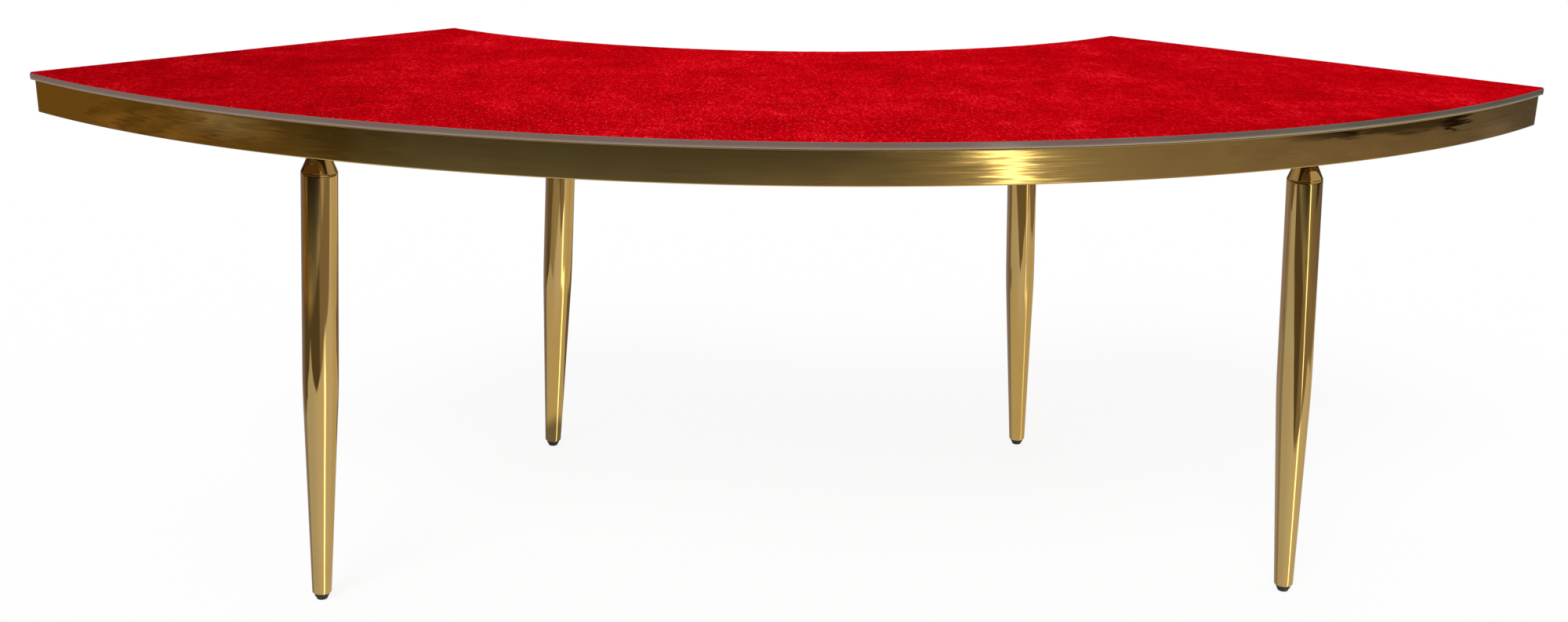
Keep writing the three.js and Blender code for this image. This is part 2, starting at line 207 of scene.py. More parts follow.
class Graph:
    """A node tree with short calls for the nodes used here."""

    def __init__(self, tree):
        self.tree = tree
        tree.nodes.clear()

    def node(self, kind, inputs=None, **settings):
        made = self.tree.nodes.new(kind)
        for key, value in settings.items():
            setattr(made, key, value)
        for key, value in (inputs or {}).items():
            self.feed(made.inputs[key], value)
        return made

    def feed(self, socket, value):
        if isinstance(value, bpy.types.NodeSocket):
            self.tree.links.new(value, socket)
        else:
            socket.default_value = value

    def math(self, operation, a, b=0.0, c=0.0):
        return self.node("ShaderNodeMath", {0: a, 1: b, 2: c}, operation=operation).outputs[0]

    def minus(self, a, b):
        return self.math("SUBTRACT", a, b)

    def product(self, first, *others):
        for other in others:
            first = self.math("MULTIPLY", first, other)
        return first

    def scaled(self, value, factor, offset):
        """The value times factor, plus offset."""
        return self.math("MULTIPLY_ADD", value, factor, offset)

    def vector(self, operation, a, b=(0, 0, 0)):
        return self.node("ShaderNodeVectorMath", {0: a, 1: b}, operation=operation).outputs[0]

    def parts(self, vector):
        return self.node("ShaderNodeSeparateXYZ", {0: vector}).outputs

    def geometry(self, name):
        return self.node("ShaderNodeNewGeometry").outputs[name]

    def distance(self, a, b):
        return self.node("ShaderNodeVectorMath", {0: a, 1: b}, operation="DISTANCE").outputs["Value"]

    def emission(self, colour, strength):
        return self.node("ShaderNodeEmission", {"Color": colour, "Strength": strength}).outputs[0]

    def add_shaders(self, a, b):
        return self.node("ShaderNodeAddShader", {0: a, 1: b}).outputs[0]

    def mix_shaders(self, factor, a, b):
        return self.node("ShaderNodeMixShader", {0: factor, 1: a, 2: b}).outputs[0]

    def mix(self, factor, a, b):
        made = self.node("ShaderNodeMix", {0: factor, 6: a, 7: b}, data_type="RGBA")
        return made.outputs[2]

    def smooth(self, value, start, end, low=0.0, high=1.0):
        """Eases from low to high as value goes from start to end."""
        inputs = {"Value": value, "From Min": start, "From Max": end, "To Min": low, "To Max": high}
        return self.node("ShaderNodeMapRange", inputs, interpolation_type="SMOOTHSTEP").outputs[0]

    def stretch(self, vector, scale, turn=0.0):
        inputs = {"Vector": vector, "Scale": scale, "Rotation": (0, 0, turn)}
        return self.node("ShaderNodeMapping", inputs).outputs[0]

    def noise(self, vector, scale, detail=2.0, roughness=0.5, distortion=0.0):
        inputs = {"Vector": vector, "Scale": scale, "Detail": detail}
        inputs.update({"Roughness": roughness, "Distortion": distortion})
        return self.node("ShaderNodeTexNoise", inputs).outputs[0]

    def ramp(self, factor, stops):
        made = self.node("ShaderNodeValToRGB", {0: factor})
        elements = made.color_ramp.elements
        while len(elements) < len(stops):
            elements.new(0.5)
        for element, (place, colour) in zip(elements, stops):
            element.position = place
            element.color = (*colour, 1)
        return made.outputs[0]

    def bump(self, height, strength, distance, normal=None):
        inputs = {"Height": height, "Strength": strength, "Distance": distance}
        if normal is not None:
            inputs["Normal"] = normal
        return self.node("ShaderNodeBump", inputs).outputs[0]

    def tint(self, colour, factor):
        """A colour or a vector times a factor."""
        return self.node("ShaderNodeVectorMath", {0: colour, 3: factor}, operation="SCALE").outputs[0]

    def bell(self, value, middle, width):
        """A smooth hump that is 1 at middle and falls off over width."""
        offset = self.math("DIVIDE", self.minus(value, middle), width)
        return self.math("EXPONENT", self.product(offset, offset, -1.0))


def new_material(name):
    material = bpy.data.materials.new(name)
    material.use_nodes = True
    return material, Graph(material.node_tree)


def principled(graph, **inputs):
    named = {key.replace("_", " "): value for key, value in inputs.items()}
    shader = graph.node("ShaderNodeBsdfPrincipled", named)
    graph.node("ShaderNodeOutputMaterial", {"Surface": shader.outputs[0]})
    return shader


def object_place(graph):
    return graph.node("ShaderNodeTexCoord").outputs["Object"]


def grain_place(graph):
    return graph.node("ShaderNodeAttribute", attribute_name="grain").outputs["Vector"]


# ---------------------------------------------------------------- materials

GOLD = (0.93, 0.66, 0.255)


def gold_steel(name, brush_depth, roughness, haze, sway, lining=None):
    """Mirror-polished gold-coated steel. Polishing lines run along the piece with a little haze between
    them, and a slow sideways sway of the surface draws reflections out into fingers. Sheet metal, which
    has a lining, is polished clearer towards the table's ends, and deeper than its lining it is dull:
    rougher, and darkened with painted shade."""
    material, g = new_material(name)
    place = grain_place(g)
    lines = g.noise(g.stretch(place, (3, 700, 700)), 1.0, 4.0, 0.65)
    wide_lines = g.noise(g.stretch(place, (1.5, 90, 90)), 1.0, 3.0, 0.6)
    waves = g.noise(g.stretch(place, (2.2, 6, 6)), 1.0, 1.0)
    clouds = g.noise(place, 9.0, 3.0)
    rough = g.scaled(g.smooth(lines, 0.35, 0.7), haze, roughness)
    rough = g.scaled(g.smooth(clouds, 0.4, 0.8), haze * 0.5, rough)
    tone = g.mix(g.smooth(clouds, 0.3, 0.75), (*GOLD, 1), (0.89, 0.61, 0.235, 1))
    tone = g.mix(g.product(g.smooth(wide_lines, 0.5, 0.8), 0.35), tone, (0.86, 0.62, 0.27, 1))
    line_strength = 1.0
    if lining is not None:
        from_middle = g.math("ABSOLUTE", g.parts(object_place(g))["X"])
        line_strength = g.smooth(from_middle, 0.45, 0.72, 1.0, 0.35)
        rough = g.product(rough, line_strength)
        # Faces deeper than the lining, the sheet's inner faces, get painted shade and more roughness.
        inside = g.smooth(g.parts(place)["Y"], lining - 0.4 * MM, lining - 0.05 * MM)
        tone = g.mix(inside, tone, (0.20, 0.12, 0.05, 1))
        rough = g.scaled(inside, 0.3, rough)
    normal = g.bump(lines, line_strength, brush_depth)
    normal = g.bump(wide_lines, line_strength, brush_depth * 3, normal)
    normal = g.bump(waves, 1.0, 0.12 * MM, normal)
    fingers = g.noise(g.stretch(place, (9, 90, 210)), 1.0, 3.0, 0.6)
    sideways = g.vector("CROSS_PRODUCT", normal, (0, 0, 1))
    sideways = g.tint(sideways, g.product(g.minus(fingers, 0.5), sway))
    normal = g.vector("NORMALIZE", g.vector("ADD", normal, sideways))
    principled(g, Base_Color=tone, Metallic=1.0, Roughness=rough, Normal=normal)
    return material


# The velvet's red from the painted shade in the pile's valleys to the painted light on its tips.
VELVET_TONES = [
    (0.0, (0.34, 0.0, 0.001)),
    (0.3, (0.44, 0.0, 0.003)),
    (0.5, (0.54, 0.0, 0.004)),
    (0.72, (0.66, 0.001, 0.006)),
    (1.0, (0.86, 0.018, 0.03)),
]


def red_velvet():
    """Short-pile velvet, brushed from front to back: fine flecks of painted highlight drawn out along the
    brushing, where tufts catch the light, over soft patches and long strokes of painted sheen and shade
    where the pile lies differently. Painted shade darkens its left end, a stretch right of its middle and
    its front, and painted light brightens its right end."""
    material, g = new_material("red_velvet_pile")
    place = object_place(g)
    x, y, _ = g.parts(place)
    patches = g.noise(g.stretch(place, (1, 0.45, 1), 0.15), 13.0, 4.0, 0.6, 0.4)
    strokes = g.noise(g.stretch(place, (0.55, 0.95, 1), 0.2), 11.0, 4.0, 0.6, 0.8)
    tufts = g.noise(g.stretch(place, (1, 0.34, 1), 0.1), 210.0, 2.0, 0.65)
    fibres = g.noise(g.stretch(place, (1, 0.34, 1), -0.1), 520.0, 2.0, 0.7)
    flecks = g.noise(g.stretch(place, (1, 0.36, 1)), 300.0, 1.0, 0.6)
    shade = 0.5
    for layer, share in ((patches, 0.8), (strokes, 0.95), (tufts, 1.5), (fibres, 1.0)):
        shade = g.scaled(g.minus(layer, 0.5), share, shade)
    tone = g.ramp(shade, VELVET_TONES)
    lively = g.product(g.bell(x, -0.2, 0.6), g.smooth(y, 0.25, -0.4, 0.35, 1.0))
    fleck_share = g.product(g.smooth(flecks, 0.60, 0.74), g.scaled(lively, 0.4, 0.12))
    tone = g.mix(fleck_share, tone, (0.95, 0.09, 0.11, 1))
    # Painted shade and light: darker at the left end, right of the middle and at the front, lighter at the
    # right end.
    painted_shading = g.product(
        g.smooth(x, -1.15, -0.3, 0.70, 1.0),
        g.smooth(x, 0.3, 0.75, 1.0, 0.92),
        g.smooth(x, 0.85, 1.2, 1.0, 1.12),
        g.smooth(y, -0.2, -0.45, 1.0, 0.95),
    )
    principled(
        g,
        Base_Color=g.tint(tone, painted_shading),
        Roughness=1.0,
        Specular_IOR_Level=0.0,
        Sheen_Weight=g.smooth(patches, 0.35, 0.7, 0.01, 0.06),
        Sheen_Roughness=0.35,
        Sheen_Tint=(1.0, 0.02, 0.04, 1),
        Normal=g.bump(tufts, 0.4, 0.8 * MM),
    )
    return material


def sheet_glass():
    """Toughened glass seen on its polished edge: a warm grey band, greener to the right, that lightens with
    painted light towards its lower arris, where a painted highlight runs, stronger to the right, with faint
    polishing marks along it. From below, the beige backing of the velvet shows through it."""
    material, g = new_material("polished_glass_edge")
    place = object_place(g)
    x, _, z = g.parts(place)
    tone = g.mix(g.smooth(x, -0.7, 0.2), (0.182, 0.121, 0.105, 1), (0.172, 0.105, 0.088, 1))
    tone = g.mix(g.smooth(x, 0.2, 0.9), tone, (0.10, 0.105, 0.08, 1))
    tone = g.mix(g.smooth(x, 0.95, 1.15), tone, (0.07, 0.076, 0.062, 1))
    marks = g.noise(g.stretch(place, (7, 7, 900)), 1.0, 3.0)
    clouds = g.noise(place, 5.0, 2.0)
    tone = g.mix(g.smooth(clouds, 0.35, 0.7, 0.0, 0.3), tone, (0.20, 0.185, 0.16, 1))
    # Painted light towards the lower arris, then a painted highlight along the arris, stronger to the
    # right.
    lit_low_edge = g.smooth(z, glass_low.z + 4.5 * MM, glass_low.z + 1.5 * MM)
    tone = g.mix(g.product(lit_low_edge, 0.75), tone, (0.30, 0.235, 0.185, 1))
    arris = g.smooth(z, glass_low.z + 1.4 * MM, glass_low.z + 0.8 * MM)
    arris = g.product(arris, g.smooth(x, -0.1, 0.5, 0.25, 1.0), 0.8)
    tone = g.mix(arris, tone, (0.62, 0.55, 0.42, 1))
    facing_up = g.parts(g.geometry("Normal"))["Z"]
    tone = g.mix(g.smooth(facing_up, -0.8, -0.95), tone, (0.34, 0.29, 0.20, 1))
    principled(
        g,
        Base_Color=tone,
        Roughness=g.scaled(marks, 0.12, 0.05),
        IOR=1.52,
        Transmission_Weight=g.smooth(facing_up, -0.8, -0.95, 0.12, 0.0),
        Coat_Weight=0.15,
        Coat_Roughness=0.1,
        Normal=g.bump(marks, 0.25, 0.1 * MM),
    )
    return material


def powder_coat():
    """Black powder coat with its fine orange-peel skin, cloudy in tone and roughness."""
    material, g = new_material("black_powder_coat")
    place = object_place(g)
    peel = g.noise(place, 420.0, 2.0)
    clouds = g.noise(place, 14.0, 3.0)
    tone = g.mix(clouds, (0.018, 0.017, 0.016, 1), (0.034, 0.032, 0.03, 1))
    rough = g.smooth(clouds, 0.3, 0.7, 0.42, 0.6)
    principled(g, Base_Color=tone, Roughness=rough, Normal=g.bump(peel, 0.5, 0.2 * MM))
    return material


def zinc_plate():
    """Bright zinc: cool grey metal with faint turning marks and duller clouds."""
    material, g = new_material("bright_zinc")
    place = object_place(g)
    turning = g.noise(g.stretch(place, (90, 90, 2200)), 1.0, 2.0)
    clouds = g.noise(place, 60.0, 4.0)
    tone = g.mix(clouds, (0.55, 0.57, 0.60, 1), (0.72, 0.72, 0.70, 1))
    rough = g.smooth(clouds, 0.3, 0.75, 0.22, 0.42)
    normal = g.bump(turning, 0.3, 0.1 * MM)
    principled(g, Base_Color=tone, Metallic=1.0, Roughness=rough, Normal=normal)
    return material


def silicone():
    """Clear silicone bumpers: cloudy, slightly tacky and dusty."""
    material, g = new_material("clear_silicone")
    place = object_place(g)
    clouds = g.noise(place, 90.0, 3.0)
    tone = g.mix(clouds, (0.78, 0.78, 0.75, 1), (0.9, 0.9, 0.88, 1))
    principled(
        g,
        Base_Color=tone,
        Roughness=g.smooth(clouds, 0.3, 0.7, 0.25, 0.5),
        Transmission_Weight=0.6,
        IOR=1.41,
        Normal=g.bump(clouds, 0.2, 0.3 * MM),
    )
    return material


def black_glide(name, low, high, roughness):
    """Black foot hardware: speckled black, cloudy between a low and a high tone, with scuffed edges."""
    material, g = new_material(name)
    place = object_place(g)
    speckle = g.noise(place, 800.0, 3.0)
    clouds = g.noise(place, 120.0, 3.0)
    tone = g.mix(clouds, (low, low, low * 1.02, 1), (high, high, high * 0.97, 1))
    worn = g.smooth(g.geometry("Pointiness"), 0.52, 0.6, 0.0, 0.5)
    tone = g.mix(worn, tone, (0.12, 0.12, 0.115, 1))
    rough = g.scaled(speckle, 0.2, roughness)
    principled(g, Base_Color=tone, Roughness=rough, Normal=g.bump(speckle, 0.3, 0.2 * MM))
    return material


BAND_GOLD = gold_steel(
    "band_gold_steel", brush_depth=0.004 * MM, roughness=0.05, haze=0.07, sway=0.13, lining=SHEET
)
LEG_GOLD = gold_steel("leg_gold_steel", brush_depth=0.001 * MM, roughness=0.02, haze=0.03, sway=0.03)
VELVET = red_velvet()
GLASS = sheet_glass()
POWDER_COAT = powder_coat()
ZINC = zinc_plate()
SILICONE = silicone()
NYLON = black_glide("moulded_black_nylon", low=0.012, high=0.024, roughness=0.42)
BLACK_OXIDE = black_glide("black_oxide_steel", low=0.016, high=0.032, roughness=0.3)


# ---------------------------------------------------------------- glass and velvet


def build_glass():
    """The glass sheet: flat faces, polished edge and small rounded arrises."""
    arris = 1.1 * MM
    mesh = Mesh()
    rows = []
    for i in range(5):
        turn = math.pi / 2 * i / 4
        rows.append((arris * (1 - math.sin(turn)), glass_low.z + arris * (1 - math.cos(turn))))
    rows.insert(0, (arris + FLAT_MARGIN, glass_low.z))
    rows.append((0.0, glass_low.z + arris + FLAT_MARGIN))
    rows += [(inset, glass_low.z + glass_high.z - z) for inset, z in reversed(rows)]
    rings = []
    for inset, z in rows:
        outer, inner = sector_sides(inset, 288)
        outline = np.vstack([outer, inner[::-1]])
        rings.append(mesh.add([(x, y, z) for x, y in outline]))
    for below, above in zip(rings, rings[1:]):
        mesh.skin(below, above)
    count = len(rings[0]) // 2
    for ring in (rings[0], rings[-1]):
        mesh.strip(ring[:count], ring[count:][::-1])
    return finish_piece("glass_sheet", mesh, GLASS, "tabletop", ["glass_top"])


def build_velvet():
    """The cloth: its pile stands in small tufts, lies in brushed patches and rounds off at the cut edge."""
    setback = 1 * MM
    edge_roll = 1.5 * MM
    outer, inner = sector_sides(setback, 620)
    columns = len(outer)
    width = OUTER_RADIUS - INNER_RADIUS - 2 * setback
    near_edge = np.array([0, 0.3, 0.8, 1.5, 2.6]) * MM
    between = np.arange(5 * MM, width - 4 * MM, 3 * MM)
    across = np.concatenate([near_edge, between, (width - near_edge)[::-1]])
    share = across / width
    x = inner[:, None, 0] + (outer - inner)[:, None, 0] * share[None]
    y = inner[:, None, 1] + (outer - inner)[:, None, 1] * share[None]

    to_edge = np.minimum(across, width - across)[None].repeat(columns, 0)
    for side in (-1, 1):
        _, off = end_axes(side)
        to_end = -(x * off[0] + (y - RING_Y) * off[1]) - setback
        to_edge = np.minimum(to_edge, np.maximum(to_end, 0))

    brushed, slanted = 0.36 * y, x + 0.1 * y
    tufts = 0.55 * lattice_noise(x, brushed, 3.6 * MM, 11)
    tufts += 0.45 * lattice_noise(slanted, brushed, 6.3 * MM, 12)
    lie = 0.6 * lattice_noise(x, 0.5 * y, 44 * MM, 13)
    lie += 0.4 * lattice_noise(slanted, 0.5 * y, 19 * MM, 14)
    drop = edge_roll * (1 - np.sqrt(1 - (1 - np.clip(to_edge / edge_roll, 0, 1)) ** 2))
    tuft_height = 0.5 * MM * tufts * (0.35 + 0.65 * np.clip(to_edge / (4 * MM), 0, 1))
    z = velvet_high.z - 0.45 * MM + tuft_height + 0.3 * MM * (lie - 0.5) - drop

    mesh = Mesh()
    grid = [mesh.add(np.column_stack([x[i], y[i], z[i]])) for i in range(columns)]
    for a, b in zip(grid, grid[1:]):
        mesh.strip(a, b)
    last = len(across) - 1
    rim = [column[-1] for column in grid] + grid[-1][-2::-1]
    rim += [column[0] for column in grid[-2::-1]] + grid[0][1:-1]
    base_z = velvet_low.z + 0.02 * MM
    foot = mesh.add([(mesh.vertices[i][0], mesh.vertices[i][1], base_z) for i in rim])
    mesh.skin(rim, foot)
    front = foot[:columns]
    back = foot[columns + last - 1:][:columns][::-1]
    mesh.strip(front, back)
    left_side = [foot[0]] + foot[2 * columns + last - 1:][::-1] + [back[0]]
    right_side = foot[columns - 1: columns + last]
    mesh.faces.append(tuple(left_side))
    mesh.faces.append(tuple(right_side))
    return finish_piece("velvet_pile", mesh, VELVET, "tabletop", ["velvet_cover"], sharp=80)


# ---------------------------------------------------------------- bands


def band_section(top, bottom, face=0.0):
    """The band's C-section as (depth from the visible face, height from its middle), with flanges as deep
    as top and bottom. Its outer folds are rounded. Face is how far the visible face is taken back."""
    half = BAND_HALF_HEIGHT
    fold = [math.pi / 2 * i / 5 for i in range(6)]
    flat = half - BAND_FOLD - FLAT_MARGIN
    folded = [(BAND_FOLD * (1 - math.cos(t)), half - BAND_FOLD * (1 - math.sin(t))) for t in fold]
    points = [(depth, -height) for depth, height in reversed(folded)]
    points += [(0.0, -flat), (0.0, flat)] + folded
    points += [(top, half), (top, half - SHEET), (SHEET, half - SHEET)]
    points += [(SHEET, -half + SHEET), (bottom, -half + SHEET), (bottom, -half)]
    tallest = half - face * 0.6
    return [(max(depth, face), max(-tallest, min(tallest, height))) for depth, height in points]


def sweep(name, stations, material, node):
    """A band through stations of (distance along, function from a depth to its plan point, section)."""
    mesh = Mesh()
    grain, rings = [], []
    for along, place, section in stations:
        rings.append(mesh.add([(*place(depth), BAND_MIDDLE_Z + height) for depth, height in section]))
        grain += [(along, depth, height) for depth, height in section]
    for a, b in zip(rings, rings[1:]):
        mesh.skin(a, b)
    mesh.faces.append(tuple(rings[0]))
    mesh.faces.append(tuple(rings[-1][::-1]))
    return finish_piece(name, mesh, material, "frame", [node], grain)


def build_curved_band(name, node, web, inward, steps):
    """A curved band with its web at a radius and its flanges turned inward, -1 towards the rings' centre.
    Its flanges stop short of its ends, to leave room for those of the end bands."""
    whole = band_section(TOP_FLANGE, BOTTOM_FLANGE)
    web_only = band_section(SHEET, SHEET)
    web_end = HALF_SWEEP - math.asin(BAND_SETBACK / web)
    flange_end = HALF_SWEEP - math.asin((BAND_SETBACK + SHEET + FITTING_GAP) / web)
    soft = [(1.4 * MM, 0.0), (0.7 * MM, 0.25 * MM), (0.25 * MM, 0.7 * MM), (0.0, 1.3 * MM)]

    def station(angle, section):
        def place(depth):
            return ring_point(web + inward * depth, angle)

        return web * angle, place, section

    right = [station(flange_end, whole), station(flange_end, web_only)]
    for back, face in soft:
        right.append(station(web_end - back / web, band_section(SHEET, SHEET, face)))
    left = [station(-angle / web, section) for angle, _, section in reversed(right)]
    middle = [station(t, whole) for t in np.linspace(-flange_end, flange_end, steps + 1)[1:-1]]
    return sweep(name, left + middle + right, BAND_GOLD, node)


def build_end_band(name, node, side):
    """A straight band between the curved ones. Each of its walls stops short of theirs."""
    along, off = end_axes(side)
    centre = np.array([0.0, RING_Y])
    outer_web, inner_web = OUTER_RADIUS - BAND_SETBACK, INNER_RADIUS + BAND_SETBACK

    def station(distance, section):
        def place(depth):
            return centre + along * distance - off * (BAND_SETBACK + depth)

        return distance, place, section

    def start(wall):
        return inner_web + wall + FITTING_GAP

    def stop(wall):
        return math.sqrt((outer_web - wall) ** 2 - (BAND_SETBACK + wall) ** 2) - FITTING_GAP

    web_only = band_section(SHEET, SHEET)
    with_bottom = band_section(SHEET, BOTTOM_FLANGE)
    whole = band_section(TOP_FLANGE, BOTTOM_FLANGE)
    stations = [station(start(SHEET), web_only), station(start(BOTTOM_FLANGE), web_only)]
    stations += [station(start(BOTTOM_FLANGE), with_bottom), station(start(TOP_FLANGE), with_bottom)]
    stations += [station(d, whole) for d in np.linspace(start(TOP_FLANGE), stop(TOP_FLANGE), 25)]
    stations += [station(stop(TOP_FLANGE), with_bottom), station(stop(BOTTOM_FLANGE), with_bottom)]
    stations += [station(stop(BOTTOM_FLANGE), web_only), station(stop(SHEET), web_only)]
    return sweep(name, stations, BAND_GOLD, node)


# ---------------------------------------------------------------- legs and glides


def lathe(name, origin, axis, profile, material, body, node, segments=128, closed=True, sharp=35):
    """Turns a profile of (distance along the axis, radius) about an axis. A closed profile is a ring."""
    axis = Vector(axis).normalized()
    side = axis.cross(Vector((0, 1, 0))).normalized()
    across = axis.cross(side)
    mesh = Mesh()
    grain, rings = [], []
    for along, radius in profile:
        points = []
        for i in range(segments):
            turn = 2 * math.pi * i / segments
            u, v = radius * math.cos(turn), radius * math.sin(turn)
            points.append(origin + axis * along + side * u + across * v)
            grain.append((along, u, v))
        rings.append(mesh.add(points))
    for a, b in zip(rings, rings[1:]):
        mesh.skin(a, b)
    if closed:
        mesh.skin(rings[-1], rings[0])
    return finish_piece(name, mesh, material, body, [node], grain, sharp)


def rounded(points, radius, steps=5):
    """Rounds the corners between the ends of an open (along, radius) profile."""
    out = [points[0]]
    for before, corner, after in zip(points, points[1:], points[2:]):
        p, c, n = (np.array(q, float) for q in (before, corner, after))
        a, b = p - c, n - c
        reach = min(radius, 0.45 * np.linalg.norm(a), 0.45 * np.linalg.norm(b))
        start, end = c + a / np.linalg.norm(a) * reach, c + b / np.linalg.norm(b) * reach
        for t in np.linspace(0, 1, steps + 1):
            out.append(tuple((1 - t) ** 2 * start + 2 * t * (1 - t) * c + t * t * end))
    out.append(points[-1])
    return out


def leg_line(foot):
    """The point on a leg's axis at the top of its cap, its direction down, and its length."""
    bolt_low, bolt_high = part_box(foot + "_leg_bolt")
    pad_low, pad_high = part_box(foot + "_glide_pad")
    upper = (bolt_low + bolt_high) / 2
    lower = Vector(((pad_low.x + pad_high.x) / 2, (pad_low.y + pad_high.y) / 2, LEG_END_Z))
    down = (lower - upper).normalized()
    top = lower - down * ((LEG_TOP_Z - LEG_END_Z) / -down.z)
    return top, down, (lower - top).length


def tube_outside(seam, taper, length):
    """The tube's outer profile: straight, then a soft bend into the taper, and a rounded lower rim."""
    bend = 34 * MM
    chamfer = 2.4 * MM
    slope = (LEG_RADIUS - FOOT_RADIUS) / (length - taper)
    outside = [(seam, LEG_RADIUS - 0.5 * MM), (seam + 0.15 * MM, LEG_RADIUS - 0.15 * MM)]
    outside.append((seam + 0.5 * MM, LEG_RADIUS))
    outside += [(s, LEG_RADIUS) for s in np.linspace(seam + 4 * MM, taper - 40 * MM, 12)]
    for s in np.linspace(-bend, bend, 18):
        outside.append((taper + s, LEG_RADIUS - slope * (s + bend) ** 2 / (4 * bend)))
    for s in np.linspace(taper + 40 * MM, length - chamfer, 24):
        outside.append((s, LEG_RADIUS - slope * (s - taper)))
    for i in range(1, 6):
        turn = math.pi / 2 * i / 5
        radius = FOOT_RADIUS - 1.5 * MM * (1 - math.cos(turn))
        outside.append((length - chamfer * (1 - math.sin(turn)), radius))
    return outside


def build_leg(foot):
    """A leg's tapered tube and the conical cap in its head."""
    top, down, length = leg_line(foot)
    taper = (LEG_TOP_Z - TAPER_START_Z) / -down.z
    inside = LEG_RADIUS - LEG_WALL
    seam = CAP_HEIGHT + FITTING_GAP
    tube = tube_outside(seam, taper, length)
    tube += [(length, FOOT_RADIUS - LEG_WALL), (taper, inside), (seam, inside)]
    lathe(f"{foot}_gold_leg", top, down, tube, LEG_GOLD, "frame", f"{foot}_leg_tube")

    cone_start = 0.9 * MM
    slant = (LEG_RADIUS - 0.45 * MM - CAP_TOP_RADIUS) / (CAP_HEIGHT - 2.5 * MM)
    cap = [(0.0, BOLT_BORE), (0.0, CAP_TOP_RADIUS - 0.8 * MM)]
    for s in (cone_start, 1.2 * MM, CAP_HEIGHT / 2, CAP_HEIGHT - 1.9 * MM, CAP_HEIGHT - 1.6 * MM):
        cap.append((s, CAP_TOP_RADIUS + 0.1 * MM + (s - cone_start) * slant))
    cap += [(CAP_HEIGHT - 0.9 * MM, LEG_RADIUS), (CAP_HEIGHT - 0.3 * MM, LEG_RADIUS)]
    cap.append((CAP_HEIGHT, LEG_RADIUS - 0.4 * MM))
    spigot, spigot_end = inside - FITTING_GAP, CAP_HEIGHT + CAP_SPIGOT
    cap += [(CAP_HEIGHT, spigot), (spigot_end, spigot), (spigot_end, BOLT_BORE)]
    lathe(f"{foot}_gold_cap", top, down, cap, LEG_GOLD, "frame", f"{foot}_leg_cap", sharp=25)


def build_glide(foot):
    """The levelling glide: a ribbed stem that stands for the screw, with a collar, and a moulded pad."""
    pad_low, pad_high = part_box(foot + "_glide_pad")
    screw_low, screw_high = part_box(foot + "_glide_screw")
    floor_spot = Vector(((pad_low.x + pad_high.x) / 2, (pad_low.y + pad_high.y) / 2, 0))
    up = Vector((0, 0, 1))
    pad_top = pad_high.z
    widest = (pad_high.x - pad_low.x) / 2
    sole = 8 * MM
    pin, collar = 3 * MM, (screw_high.x - screw_low.x) / 2
    collar_low, collar_high = pad_top + FITTING_GAP, 9 * MM

    dish, hole = 0.25 * MM, pin + FITTING_GAP
    skin = [(dish, sole - 2.6 * MM), (0.0, sole - 2.0 * MM), (0.0, sole)]
    skin += [(pad_top, widest), (pad_top, hole)]
    hole_end = screw_low.z - FITTING_GAP
    pad = [(dish, 0.0)] + rounded(skin, 1.5 * MM) + [(hole_end, hole), (hole_end, 0.0)]
    lathe(
        f"{foot}_nylon_pad", floor_spot, up, pad, NYLON,
        f"{foot}_pad", f"{foot}_glide_pad", GLIDE_SEGMENTS, closed=False,
    )

    stem = [(screw_low.z, 0.0), (screw_low.z, pin), (collar_low, pin)]
    rim = [(collar_low, pin), (collar_low, collar), (collar_high, collar), (collar_high, 5 * MM)]
    stem += rounded(rim, 1.1 * MM)[1:]
    pitch, crest = 1.5 * MM, 5 * MM
    s = collar_high + 1 * MM
    while s + pitch < screw_high.z - 1 * MM:
        stem += [(s, crest), (s + 0.5 * pitch, crest - 0.55 * MM)]
        s += pitch
    stem += [(screw_high.z - 1 * MM, crest - 0.1 * MM), (screw_high.z, crest - 1 * MM)]
    stem.append((screw_high.z, 0.0))
    lathe(
        f"{foot}_levelling_screw", floor_spot, up, stem, BLACK_OXIDE,
        f"{foot}_screw", f"{foot}_glide_screw", GLIDE_SEGMENTS, closed=False,
    )


# ---------------------------------------------------------------- CAD nodes that stay


def dress_node(node, material, bevel):
    """Gives a carried-over CAD node its finish and small rounded edges."""
    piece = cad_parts[node]
    piece.data.materials.clear()
    piece.data.materials.append(material)
    weld = piece.modifiers.new("weld", "WELD")
    weld.merge_threshold = SAME_POINT
    edge = piece.modifiers.new("soft_edges", "BEVEL")
    edge.width = bevel
    edge.segments = 2
    edge.limit_method = "ANGLE"
    edge.angle_limit = math.radians(40)


def dress_hidden_parts():
    """Finishes the ribs, plates, bolts, nuts, foot plugs and bumpers, which keep their CAD shapes."""
    for node in ("left_rib", "middle_rib", "right_rib"):
        dress_node(node, POWDER_COAT, 0.8 * MM)
    for foot in FEET:
        dress_node(foot + "_leg_plate", POWDER_COAT, 0.5 * MM)
        dress_node(foot + "_leg_bolt", ZINC, 0.4 * MM)
        dress_node(foot + "_leg_nut", ZINC, 0.4 * MM)
        dress_node(foot + "_foot_plug", ZINC, 0.3 * MM)
    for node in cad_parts:
        if node.startswith("bumper_"):
            dress_node(node, SILICONE, 1.0 * MM)


# ---------------------------------------------------------------- studio

# The room's floor beyond the sheet, by direction in degrees from straight ahead of the table's front,
# positive to its right: brown boards, a dark doorway, grey and then tan carpet, and darker carpet.
ROOM_TONES = [
    (-110, (0.14, 0.08, 0.015)),
    (-78, (0.14, 0.085, 0.03)),
    (-57, (0.062, 0.048, 0.022)),
    (-48, (0.08, 0.075, 0.06)),
    (-19, (0.07, 0.068, 0.055)),
    (3, (0.09, 0.08, 0.065)),
    (42, (0.205, 0.175, 0.14)),
    (85, (0.16, 0.125, 0.10)),
    (115, (0.085, 0.075, 0.07)),
]
ROOM_SPAN = 120
LAMP_TURN = 28.0
BACK_LEFT_FOOT = (-0.444, 0.277, 0)


